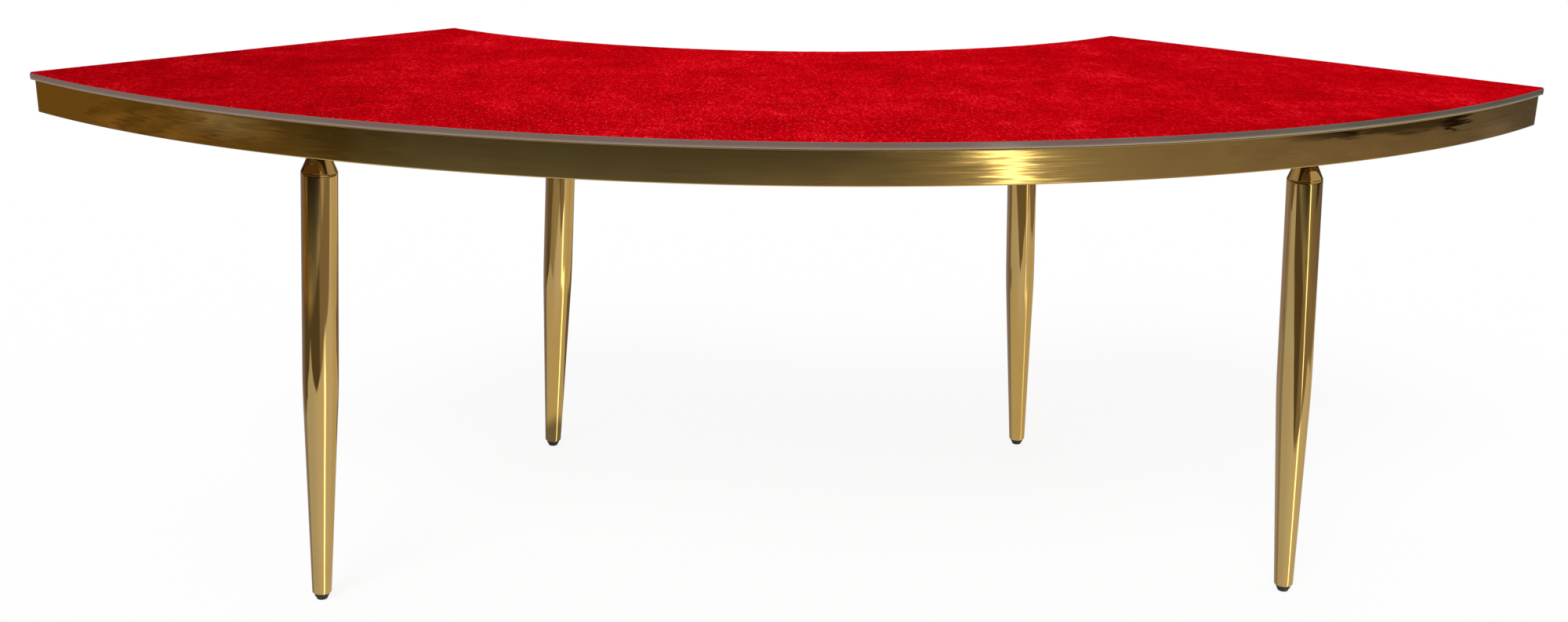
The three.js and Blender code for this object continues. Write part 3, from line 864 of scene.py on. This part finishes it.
class Ray:
    """A ray from the metal to the floor: where it lands and starts, and its direction as a turn in degrees
    counted as in ROOM_TONES. Depth is how far it lands past the floor seen in the front band's middle."""

    def __init__(self, g, position, direction, length):
        self.position, self.length = position, length
        self.x, self.y, _ = g.parts(position)
        dx, dy, self.dz = g.parts(direction)
        self.start_x = g.minus(self.x, g.product(dx, length))
        self.start_z = g.product(self.dz, length, -1.0)
        self.from_back = g.smooth(g.minus(self.y, g.product(dy, length)), -0.05, 0.05)
        self.turn = g.math("DEGREES", g.math("ARCTAN2", dx, g.product(dy, -1.0)))
        self.reach = g.math("SQRT", g.math("ADD", g.product(self.x, self.x), g.product(self.y, self.y)))
        sideways = g.math("DIVIDE", g.math("ABSOLUTE", self.turn), 86.0)
        self.depth = g.minus(self.reach, g.math("ADD", g.math("POWER", sideways, 2.0), 3.87))
        self.wander = g.minus(g.noise(position, 1.6, 3.0), 0.5)
        self.wandered_x = g.scaled(self.wander, 0.5, self.x)
        self.wandered_y = g.scaled(self.wander, 0.35, self.y)


def far_floor(g, ray):
    """The floor beyond the sheet, whose tone changes with the direction of view."""
    turn, depth = ray.turn, ray.depth
    mottle = g.minus(g.noise(ray.position, 3.2, 4.0, 0.6), 0.5)
    bearing = g.scaled(mottle, 14.0, turn)
    stops = [((place + ROOM_SPAN) / (2 * ROOM_SPAN), colour) for place, colour in ROOM_TONES]
    room = g.ramp(g.math("DIVIDE", g.math("ADD", bearing, ROOM_SPAN), 2 * ROOM_SPAN), stops)
    lamp_pool = g.tint((0.17, 0.155, 0.11), g.bell(bearing, LAMP_TURN, 9.0))
    room = g.vector("ADD", room, lamp_pool)

    # On the left: stains, a pale haze of painted sheen, the nearer boards and two painted shades.
    stains = g.smooth(g.noise(ray.position, 1.9, 2.0), 0.5, 0.62)
    stains = g.product(stains, g.smooth(turn, -64.0, -72.0), 0.6)
    room = g.mix(stains, room, (0.17, 0.105, 0.03, 1))
    # The haze is a patch of painted sheen on the floor.
    haze = g.product(g.bell(bearing, -74.0, 5.0), g.smooth(depth, -0.15, 0.2), 0.55)
    room = g.mix(haze, room, (0.21, 0.19, 0.16, 1))
    near_boards = g.product(g.smooth(bearing, -88.0, -96.0), g.smooth(depth, 0.0, -0.15), 0.6)
    room = g.mix(near_boards, room, (0.19, 0.105, 0.035, 1))
    near_shade = g.product(g.bell(bearing, -72.0, 3.5), g.smooth(depth, -0.02, -0.12))
    far_shade = g.product(g.bell(bearing, -89.0, 4.0), g.smooth(depth, 0.12, 0.28))
    shade = g.product(g.math("MAXIMUM", near_shade, far_shade), 0.75)
    room = g.mix(shade, room, (0.09, 0.058, 0.015, 1))
    room = g.tint(room, g.scaled(mottle, g.smooth(turn, -90.0, -30.0, 2.4, 0.9), 1.0))

    # It darkens with depth, most of all straight ahead.
    fall = g.product(g.smooth(turn, -72.0, -62.0), g.smooth(turn, 18.0, 5.0, 0.0, 0.9))
    fall = g.scaled(g.bell(turn, 2.0, 12.0), 0.5, g.math("ADD", fall, 0.15))
    room = g.tint(room, g.math("EXPONENT", g.product(depth, fall, -1.0)))

    # On the right: a dark strip with two near-black patches, and a paler patch nearer by.
    right_patch = g.bell(turn, 95.5, 2.0)
    strip_edge = g.scaled(right_patch, -0.16, g.smooth(turn, 80.0, 86.0, 0.27, 0.22))
    past_edge = g.minus(g.scaled(mottle, 0.22, depth), strip_edge)
    strip = g.product(
        g.smooth(turn, 62.0, 72.0),
        g.smooth(turn, 99.5, 98.0),
        g.smooth(past_edge, 0.0, 0.015),
        0.95,
    )
    patches = g.math("MAXIMUM", right_patch, g.bell(turn, 76.0, 1.7))
    room = g.mix(strip, room, g.mix(patches, (0.036, 0.028, 0.024, 1), (0.004, 0.001, 0.001, 1)))
    pale_patch = g.product(g.bell(turn, 106.0, 4.0), g.smooth(depth, 0.1, -0.1), 0.6)
    room = g.mix(pale_patch, room, (0.19, 0.165, 0.17, 1))

    near = g.mix(g.smooth(turn, 2.0, 12.0), (0.085, 0.068, 0.045, 1), (0.20, 0.165, 0.13, 1))
    return g.mix(g.smooth(ray.reach, 2.7, 3.2), near, room)


def pale_sheet(g, ray):
    """The pale sheet round the table, as where it lies (0 or 1, soft at its wavy edges) and its tone."""
    x, y, turn = ray.x, ray.y, ray.turn
    tone = g.mix(g.smooth(turn, -60.0, 10.0), (0.42, 0.42, 0.41, 1), (0.52, 0.49, 0.46, 1))
    warm = g.product(g.smooth(y, -0.5, -0.1), g.smooth(turn, -100.0, -40.0))
    tone = g.mix(warm, tone, (0.47, 0.42, 0.31, 1))
    front_edge = g.math("ADD", g.smooth(x, -1.05, -0.5, -1.42, -1.58), g.smooth(x, 0.0, 0.9, 0.0, 0.6))
    back_edge = g.math("ADD", g.smooth(x, -0.55, 0.1, -1.6, -0.88), g.smooth(x, 0.55, 1.0, 0.0, -0.7))
    near_edge = g.product(front_edge, g.minus(1.0, ray.from_back))
    near_edge = g.math("ADD", near_edge, g.product(back_edge, ray.from_back))
    left_edge = g.smooth(y, -1.2, 0.2, -2.15, -1.5)
    lies = g.product(
        g.smooth(g.minus(g.scaled(ray.wander, 0.1, y), near_edge), -0.05, 0.05),
        g.smooth(g.minus(ray.wandered_x, left_edge), -0.05, 0.05),
        g.smooth(ray.wandered_x, 2.3, 2.15),
    )
    return lies, tone


def lamp_glare(g, ray, sheet):
    """The lamp's glint in the far floor on the right, and the streaks it draws down the legs."""
    off_lamp = g.minus(ray.turn, g.scaled(ray.depth, -4.0, LAMP_TURN))
    glint = g.scaled(g.bell(off_lamp, 0.0, 4.0), 0.05, g.bell(off_lamp, 0.0, 1.9))
    glint = g.product(glint, g.smooth(ray.x, 1.2, 1.6), 2.3)
    off_streak = g.minus(ray.turn, g.smooth(ray.y, -0.45, -0.15, 38.0, 56.0))
    streak = g.product(g.bell(off_streak, 0.0, 5.0), sheet, g.smooth(ray.dz, -0.27, -0.32))
    from_back_right = g.product(ray.from_back, g.smooth(ray.start_x, -0.1, 0.1))
    power = g.product(
        g.smooth(ray.start_z, 0.58, 0.36, 0.85, 1.7),
        g.smooth(ray.start_z, 0.3, 0.15, 1.0, 1.2),
        g.scaled(from_back_right, -0.65, 1.0),
    )
    return g.scaled(streak, power, glint)


def room_for_mirrors(g, position, direction, length):
    """What the polished gold sees of the room: its floor beyond a pale sheet, a wedge of painted shade
    before the back legs, a brown floor behind the table on the left, painted shade round a foot, a grey
    wall by the legs' left edges, and a lamp."""
    ray = Ray(g, position, direction, length)
    sheet, sheet_tone = pale_sheet(g, ray)
    tone = g.mix(sheet, far_floor(g, ray), sheet_tone)

    # A wedge of painted shade on the floor that the back legs see before them.
    off_wedge = g.minus(ray.turn, g.scaled(ray.start_x, 32.0, -23.0))
    wide = g.math("ABSOLUTE", off_wedge)
    wedge = g.product(
        ray.from_back,
        g.smooth(g.minus(ray.length, g.scaled(wide, 0.016, 0.95)), -0.02, 0.1),
        g.smooth(wide, 60.0, 50.0),
        g.smooth(ray.start_x, -0.4, 0.4, 0.6, 1.0),
    )
    tone = g.mix(wedge, tone, (0.15, 0.115, 0.075, 1))
    behind = g.product(g.smooth(ray.wandered_y, 0.40, 0.46), g.smooth(ray.wandered_x, 0.4, 0.25))
    brown = g.mix(g.smooth(ray.x, -2.6, -3.6), (0.135, 0.105, 0.085, 1), (0.138, 0.082, 0.02, 1))
    tone = g.mix(behind, tone, brown)
    wall = g.product(g.smooth(ray.start_z, 0.685, 0.665), g.smooth(ray.turn, -92.0, -106.0), 0.75)
    wall_tone = g.mix(g.smooth(ray.turn, -118.0, -132.0), (0.17, 0.15, 0.17, 1), (0.30, 0.27, 0.36, 1))
    tone = g.mix(wall, tone, wall_tone)
    # Painted shade round the back left foot.
    to_foot = g.distance(position, BACK_LEFT_FOOT)
    tone = g.mix(g.smooth(to_foot, 0.16, 0.085), tone, (0.165, 0.16, 0.15, 1))
    return tone, lamp_glare(g, ray, sheet)


def build_floor():
    """A plain pale floor. Polished metal sees the room in its place, and from below it is clear."""
    far, z = 40.0, -0.3 * MM
    data = bpy.data.meshes.new("floor")
    data.from_pydata([(-far, -far, z), (far, -far, z), (far, far, z), (-far, far, z)], [], [(0, 1, 2, 3)])
    floor = bpy.data.objects.new("floor", data)
    scene.collection.objects.link(floor)

    material, g = new_material("pale_floor")
    path = g.node("ShaderNodeLightPath").outputs
    direction = g.tint(g.geometry("Incoming"), -1.0)
    tone, glare = room_for_mirrors(g, g.geometry("Position"), direction, path["Ray Length"])
    room = g.add_shaders(g.emission(tone, 1.0), g.emission((1.0, 1.02, 0.72, 1), glare))
    diffuse = g.node("ShaderNodeBsdfDiffuse", {"Color": (0.12, 0.12, 0.12, 1)}).outputs[0]
    pale = g.add_shaders(diffuse, g.emission((1, 1, 1, 1), 0.88))
    clear = g.node("ShaderNodeBsdfTransparent").outputs[0]
    shown = g.mix_shaders(path["Is Glossy Ray"], pale, room)
    shown = g.mix_shaders(g.geometry("Backfacing"), shown, clear)
    g.node("ShaderNodeOutputMaterial", {"Surface": shown})
    data.materials.append(material)


def build_world():
    """White to the eye, soft light to the cloth; the metal sees dark walls on the left, pale ones on the
    right and a bright ceiling."""
    world = bpy.data.worlds.new("studio")
    world.use_nodes = True
    scene.world = world
    g = Graph(world.node_tree)
    x, _, z = g.parts(g.node("ShaderNodeTexCoord").outputs["Generated"])
    walls = g.mix(g.smooth(x, 0.2, 0.4), (0.08, 0.04, 0.015, 1), (0.40, 0.35, 0.26, 1))
    walls = g.mix(g.smooth(z, 0.62, 0.85), walls, (0.95, 0.95, 0.94, 1))
    path = g.node("ShaderNodeLightPath").outputs
    seen = g.mix(path["Is Glossy Ray"], (1, 1, 1, 1), walls)
    seen = g.mix(path["Is Diffuse Ray"], seen, (0.62, 0.62, 0.62, 1))
    background = g.node("ShaderNodeBackground", {"Color": seen, "Strength": 1.0})
    g.node("ShaderNodeOutputWorld", {"Surface": background.outputs[0]})


def build_lights():
    """One wide soft key from above, in front and to the left."""
    key = bpy.data.lights.new("soft_key", "SUN")
    key.energy = 1.55
    key.angle = math.radians(30)
    lamp = bpy.data.objects.new("soft_key", key)
    scene.collection.objects.link(lamp)
    lamp.rotation_euler = (math.radians(38), math.radians(-22), 0)
    lamp.visible_glossy = False


def build_camera():
    """The photograph's view: 1.18 m up, 2.2 m in front of the table and a little left of its middle, turned
    slightly right, looking down by 17 degrees, and rolled by about one."""
    place = Vector((-0.20115, -2.70865, 1.17593))
    yaw, pitch, roll = 0.06378, 0.29535, 0.02047
    ahead = Vector((math.sin(yaw) * math.cos(pitch), math.cos(yaw) * math.cos(pitch), -math.sin(pitch)))
    level = Vector((math.cos(yaw), -math.sin(yaw), 0))
    upward = level.cross(ahead)
    right = level * math.cos(roll) + upward * math.sin(roll)
    up = upward * math.cos(roll) - level * math.sin(roll)
    data = bpy.data.cameras.new("camera")
    data.sensor_width = 36
    data.lens = 38.42
    camera = bpy.data.objects.new("camera", data)
    scene.collection.objects.link(camera)
    matrix = Matrix((right, up, -ahead)).transposed().to_4x4()
    matrix.translation = place
    camera.matrix_world = matrix
    scene.camera = camera


build_glass()
build_velvet()
build_curved_band("gold_front_band", "outer_band", OUTER_RADIUS - BAND_SETBACK, inward=-1, steps=320)
build_curved_band("gold_back_band", "inner_band", INNER_RADIUS + BAND_SETBACK, inward=1, steps=200)
build_end_band("gold_left_end_band", "left_end_band", -1)
build_end_band("gold_right_end_band", "right_end_band", 1)
for foot_name in FEET:
    build_leg(foot_name)
    build_glide(foot_name)
dress_hidden_parts()
build_floor()
build_world()
build_lights()
build_camera()
scene.view_settings.view_transform = "Standard"
